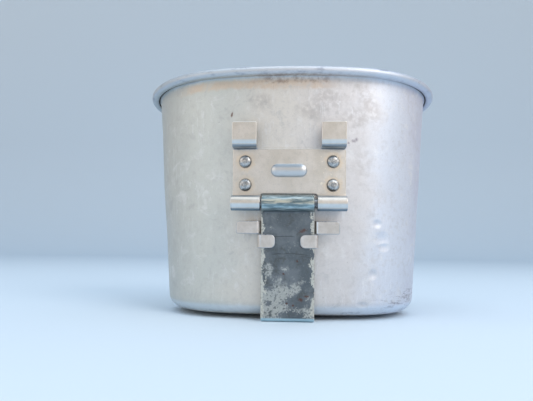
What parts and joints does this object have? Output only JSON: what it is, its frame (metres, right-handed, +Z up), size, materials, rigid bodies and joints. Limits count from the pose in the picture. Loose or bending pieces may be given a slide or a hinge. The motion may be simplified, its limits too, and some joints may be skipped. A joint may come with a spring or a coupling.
{
  "type": "canteen cup",
  "caption": "Kidney-shaped metal field cup with a rolled rim, riveted hinge bracket, strap handle folded under the base and sliding locking catch.",
  "frame": {"origin": "on the surface that the cup stands on, under the middle of its box", "axes": "+Z up through the mouth, +X across the width, -Y out of the front wall that carries the hinge bracket"},
  "size_m": [0.1414, 0.085, 0.1058],
  "materials": {
    "cup_aluminium": "matte, worn and stained drawn aluminium",
    "bracket_aluminium": "satin",
    "pin_steel": "satin",
    "strap_steel": "dark worn tinned steel",
    "catch_steel": "satin",
    "rivet_steel": "satin"
  },
  "bodies": {
    "cup": {"cup_body": "cup_aluminium", "hinge_bracket": "bracket_aluminium", "hinge_pin": "pin_steel", "rivet_upper_left": "rivet_steel", "rivet_upper_right": "rivet_steel", "rivet_lower_left": "rivet_steel", "rivet_lower_right": "rivet_steel"},
    "handle": {"handle": "strap_steel"},
    "catch": {"locking_catch": "catch_steel"}
  },
  "joints": [
    {"name": "handle_swing", "type": "hinge", "parent": "cup", "child": "handle", "pos_m": [0, -0.03776, 0.04851], "axis": [-1, 0, 0], "range_deg": [0, 180]},
    {"name": "catch_slide", "type": "slide", "parent": "handle", "child": "catch", "axis": [0, 0.0767, -0.9971], "range_m": [-0.003, 0.0273]}
  ]
}
